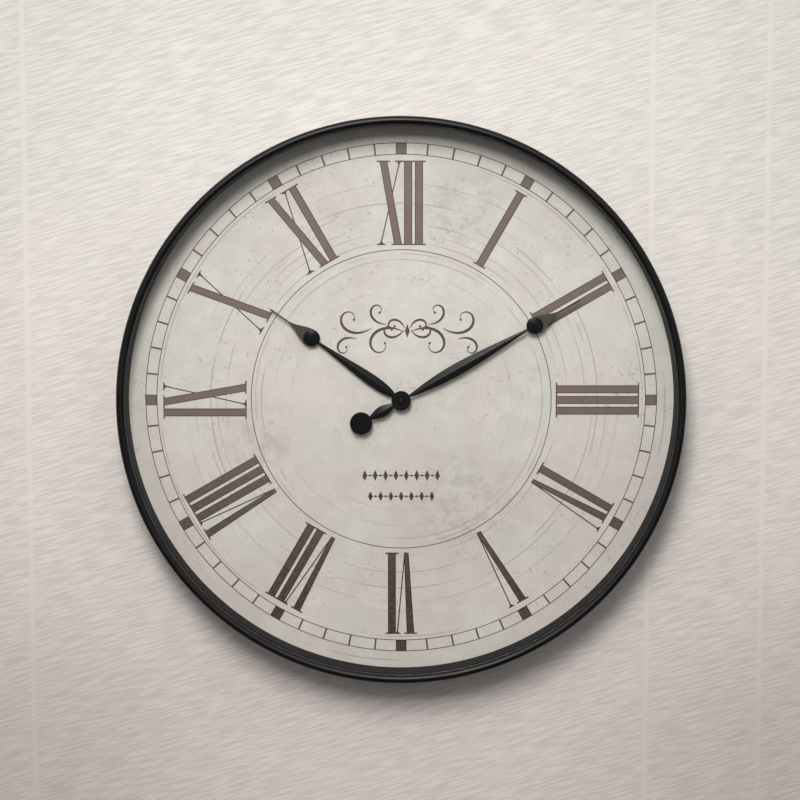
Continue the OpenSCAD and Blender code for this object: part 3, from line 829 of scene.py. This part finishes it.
def add_chain(shape, high, level, half, count, tall):
    """Lozenges in a row, with a dot and a short line between each two."""
    dot, gap, line = 1.1, 3, 0.35
    pitch = 2 * half / (count - 1)
    for i in range(count):
        x = half * (2 * i / (count - 1) - 1)
        shape.slab(lozenge((x, level), LOZENGE_HALF, tall), INK_BASE, high)
        if i:
            shape.slab(round_outline((x - pitch / 2, level), dot), INK_BASE, high)
            shape.slab(box_outline(x - pitch + gap, x - gap, level - line, level + line), INK_BASE, high)


def make_flourish(material):
    """A plain scrolled vine above the centre and two lozenge chains below it, in place of lettering."""
    shape = Shape()
    high = FACE_Z + INK_Z
    add_vine(shape, high)
    for chain in CHAINS:
        add_chain(shape, high, *chain)
    shape.to_piece("flourish", material, "case")


# ---- Hands ----


def leaf_half(u, widest, half, thin):
    """Half width of a leaf at a share u of its length."""
    swell = max(math.sin(math.pi * u ** (math.log(0.5) / math.log(widest))), 0.0)
    return thin + (half - thin) * swell ** 1.4


def add_leaf(shape, angle, z, span, widest, half, thin=LEAF_THIN):
    """A leaf with a ridge along its middle. The span is from and to, along 12 o'clock."""
    steps = 56
    sections = []
    for i in range(steps + 1):
        u = i / steps
        h = leaf_half(u, widest, half, thin)
        y = span[0] + u * (span[1] - span[0])
        side = [(-h, z), (h, z), (h, z + LEAF_EDGE), (0, z + LEAF_EDGE + LEAF_SLOPE * h), (-h, z + LEAF_EDGE)]
        sections.append([placed(*turned([(px, y)], angle)[0], pz) for px, pz in side])
    shape.loft(sections if span[1] > span[0] else list(reversed(sections)))


def add_spade(shape, angle, z, boss_y, tip):
    """A flat bevelled spade that draws in to a needle."""
    bevel = 0.35
    steps = 40
    half = BOSS_R - SPADE_THIN
    rows = []
    for i in range(steps + 1):
        u = i / steps
        rows.append((boss_y + u * SPADE_LEN, SPADE_THIN + half * math.cos(math.pi / 2 * u) ** 2))
    rows += [(tip - NEEDLE_TAPER, SPADE_THIN), (tip, NEEDLE_END)]
    sections = []
    for y, h in rows:
        flat = max(h - bevel, h * 0.4)
        side = [(-h, z), (h, z), (h, z + HAND_T - bevel), (flat, z + HAND_T), (-flat, z + HAND_T)]
        side.append((-h, z + HAND_T - bevel))
        sections.append([placed(*turned([(px, y)], angle)[0], pz) for px, pz in side])
    shape.loft(sections)


def domed(radius, z0, edge, top, steps=14):
    """Profile of a disc with a rounded foot and a spherical top."""
    rise = top - edge
    ball = (radius ** 2 + rise ** 2) / (2 * rise)
    soft = 0.3
    profile = [(0, z0), (radius - soft, z0), (radius, z0 + soft)]
    for i in range(steps + 1):
        r = radius * math.cos(math.pi / 2 * i / steps)
        profile.append((max(r, 0.0), top - ball + math.sqrt(ball ** 2 - r ** 2)))
    return profile


def add_hub(shape, z, bore, bush):
    """Hub disc with its bush, open for the pipe."""
    soft = 0.3
    profile = [(bore, z - BUSH_DROP), (bush, z - BUSH_DROP), (bush, z), (HUB_R - soft, z), (HUB_R, z + soft)]
    profile += [(HUB_R, z + HAND_T - soft), (HUB_R - soft, z + HAND_T), (bore, z + HAND_T)]
    shape.spin(profile, 120)


def make_hand(name, body, angle, z, materials, boss_y, tip, widest, half, bore, bush, tail=False):
    """A spade hand. Its leaf, balls and spade are separate pieces, since each has its own material; the
    spade's lighter grey is painted sheen.
    """
    leaf_material, boss_material, spade_material = materials
    leaf, balls, spade = Shape(), Shape(), Shape()
    add_hub(leaf, z, bore, bush)
    add_leaf(leaf, angle, z, (LEAF_FROM, boss_y), widest, half)
    balls.dome(domed(BOSS_R, z, z + HAND_T + BALL_SEAT, z + BOSS_H), centre=turned([(0, boss_y)], angle)[0])
    add_spade(spade, angle, z, boss_y, tip)
    if tail:
        add_leaf(leaf, angle, z, TAIL_LEAF, 0.5, TAIL_HALF, TAIL_THIN)
        balls.dome(domed(TAIL_R, z, z + TAIL_EDGE, z + TAIL_H), centre=turned([(0, -TAIL_Y)], angle)[0])
    leaf_piece = leaf.to_piece(name, leaf_material, body, 20)
    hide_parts(name)
    for shown in (leaf_piece, balls.to_piece(name + "_balls", boss_material, body, 40),
                  spade.to_piece(name + "_spade", spade_material, body, 20)):
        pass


def make_cap(material):
    """The domed nut on the end of the post."""
    shape = Shape()
    shape.dome(domed(CAP_R, CAP_Z0, CAP_Z0 + CAP_EDGE, CAP_Z1, 24), 120)
    cap = shape.to_piece("cap", material, "minute", 40)
    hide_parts("cap_nut")


# ---- Camera, light and wall ----


def make_camera():
    """Camera in front of the dial, slightly above its axis, aimed at the middle of the face."""
    distance, lens = 2.240, 94.29
    azimuth, elevation = math.radians(0.1), math.radians(5.86)
    back = Vector((math.sin(azimuth) * math.cos(elevation), -math.cos(azimuth) * math.cos(elevation),
                   math.sin(elevation)))
    camera = bpy.data.objects.new("camera", bpy.data.cameras.new("camera"))
    camera.data.lens = lens
    aim = placed(-1.25, -0.04, FACE_Z)
    camera.location = aim + back * distance
    camera.rotation_mode = "QUATERNION"
    camera.rotation_quaternion = (-back).to_track_quat("-Z", "Y")
    bpy.context.collection.objects.link(camera)
    bpy.context.scene.camera = camera


def area_light(name, location, target, size, power, color=(1, 1, 1)):
    """A rectangular light, in metres and watts, turned to its target."""
    light = bpy.data.lights.new(name, "AREA")
    light.shape = "RECTANGLE"
    light.size, light.size_y = size
    light.energy = power
    light.color = color
    obj = bpy.data.objects.new(name, light)
    obj.location = location
    obj.rotation_mode = "QUATERNION"
    obj.rotation_quaternion = (Vector(target) - Vector(location)).to_track_quat("-Z", "Y")
    bpy.context.collection.objects.link(obj)


def make_light():
    """A window high in front, a faint pink patch for the glass to mirror, and two lights for the back."""
    clock = (0, 0, 0)
    warm, pink = (1.0, 0.99, 0.975), (1.0, 0.8, 0.8)
    patch_x, patch_z = -0.071, 0.254
    area_light("key", (-0.272, -2.584, 1.5), clock, (0.75, 1.15), 72, warm)
    area_light("glass_patch", (patch_x, -2.6, patch_z), (patch_x, 0, patch_z), (0.26, 0.13), 0.05, pink)
    area_light("behind", (-1.4, 2.2, 1.2), clock, (1.6, 1.6), 42)
    area_light("behind_low", (1.2, 2.0, -0.4), clock, (1.4, 1.4), 14)


def make_world():
    """Pale where the camera sees it. What lights the scene is bright overhead and dim level and below."""
    world = bpy.data.worlds.new("world")
    world.use_nodes = True
    nodes, links = world.node_tree.nodes, world.node_tree.links
    split = nodes.new("ShaderNodeSeparateXYZ")
    links.new(nodes.new("ShaderNodeTexCoord").outputs["Generated"], split.inputs[0])
    room = nodes.new("ShaderNodeMapRange")
    room.interpolation_type = "SMOOTHSTEP"
    for socket, value in (("From Min", -0.35), ("From Max", 0.7), ("To Min", 0.08), ("To Max", 0.9)):
        room.inputs[socket].default_value = value
    links.new(split.outputs["Z"], room.inputs["Value"])
    seen = nodes.new("ShaderNodeLightPath").outputs["Is Camera Ray"]
    strength = nodes.new("ShaderNodeMapRange")
    strength.inputs["To Max"].default_value = 0.78
    links.new(room.outputs[0], strength.inputs["To Min"])
    links.new(seen, strength.inputs["Value"])
    back = nodes["Background"]
    back.inputs["Color"].default_value = (1.0, 0.985, 0.98, 1)
    links.new(strength.outputs[0], back.inputs["Strength"])
    bpy.context.scene.world = world


def make_wall():
    """A wall just behind the clock, wide enough for every view of the front."""
    mesh = bpy.data.meshes.new("wall")
    corners = box_outline(-WALL_HALF, WALL_HALF, -WALL_HALF, WALL_HALF)
    mesh.from_pydata([tuple(placed(x, y, -WALL_GAP)) for x, y in corners], [], [(0, 1, 2, 3)])
    mesh.materials.append(wall_paint())
    wall = bpy.data.objects.new("wall", mesh)
    bpy.context.collection.objects.link(wall)


def give(material, *nodes, bevel=0.0):
    """Gives CAD nodes a new material and, where a bevel is stated, softened edges (millimetres)."""
    for node in nodes:
        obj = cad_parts[node]
        for holder in obj.material_slots:
            holder.material = material
        if bevel:
            soften = obj.modifiers.new("soften", "BEVEL")
            soften.width = bevel * MM
            soften.segments = 2
            soften.limit_method = "ANGLE"
            soften.angle_limit = math.radians(40)


make_camera()
make_light()
make_world()
make_wall()

black = rim_black()
gasket = gasket_black()
make_rim(black)
make_ring("gasket", "lens_gasket", INNER_R + GASKET_IN, INNER_R + GASKET_OUT, gasket)
make_ring("spacer", "spacer_ring", INNER_R, INNER_R + SPACER_W, spacer_dark())
make_glass(clear_glass())

# Each ink runs from its painted-shade colour at the foot to its painted-light colour at the top.
dark_ink = print_ink("dark_ink", srgb(46, 34, 31), srgb(82, 72, 64))
brown_ink = print_ink("brown_ink", srgb(60, 43, 42), srgb(118, 102, 94))
line_ink = print_ink("line_ink", srgb(84, 72, 66), srgb(96, 88, 78))
make_numerals(dark_ink, brown_ink)
make_track(line_ink)
make_flourish(dark_ink)

# The third material is the spade's black with painted sheen.
finishes_and_painted_sheen = (hand_black(), boss_black(), spade_painted_sheen())
make_hand("hour_hand", "hour", HOUR_ANGLE, HOUR_Z, finishes_and_painted_sheen, **HOUR_SIZES)
make_hand("minute_hand", "minute", MINUTE_ANGLE, MINUTE_Z, finishes_and_painted_sheen, **MINUTE_SIZES, tail=True)
make_cap(cap_black())

steel = metal("bright_steel", srgb(196, 198, 200), srgb(170, 171, 172), 0.34, (1, 1, 8))
screw = metal("screw_steel", srgb(206, 206, 202), srgb(178, 176, 168), 0.3)
brass = metal("brass", srgb(200, 166, 92), srgb(170, 136, 70), 0.32)
iron = metal("core_iron", srgb(168, 170, 172), srgb(140, 140, 142), 0.4)
black_case = plastic("case_plastic", srgb(30, 31, 33), srgb(38, 39, 41), 0.45, 900, 0.25)
gear = plastic("gear_plastic", srgb(226, 223, 212), srgb(214, 210, 198), 0.42)
give(aged_paper(), "dial_sheet")
give(fibre_board(), "dial_board")
give(plastic("felt", srgb(60, 60, 62), srgb(48, 48, 50), 0.95, 700, 0.9), "wall_pads")
give(steel, "retaining_clips", "hanger_plate", bevel=0.3)
give(screw, "clip_screws", "hanger_screws")
give(black_case, "movement_base", "movement_cover", bevel=0.3)
give(gasket, "rubber_washer")
give(brass, "brass_washer", "post_nut", "minute_pipe", "contact_positive", "contact_negative")
give(cell_sleeve(), "battery")
give(plastic("circuit_resin", srgb(38, 92, 58), srgb(30, 78, 48), 0.35), "circuit_board")
give(metal("can_metal", srgb(204, 206, 208), srgb(184, 186, 188), 0.22), "quartz_can")
give(wound_copper(), "coil_winding")
give(iron, "coil_core", "stator")
give(metal("magnet", srgb(86, 88, 92), srgb(70, 72, 76), 0.4), "rotor")
give(gear, "middle_plate", "coil_bobbin", "setting_shaft", "minute_work_wheel", "hour_wheel")
give(gear, "intermediate_wheel", "seconds_wheel", "third_wheel", "centre_wheel")
give(plastic("knob_plastic", srgb(216, 212, 202), srgb(200, 196, 186), 0.4), "setting_knob", bevel=0.15)

bpy.context.scene.view_settings.view_transform = "Standard"
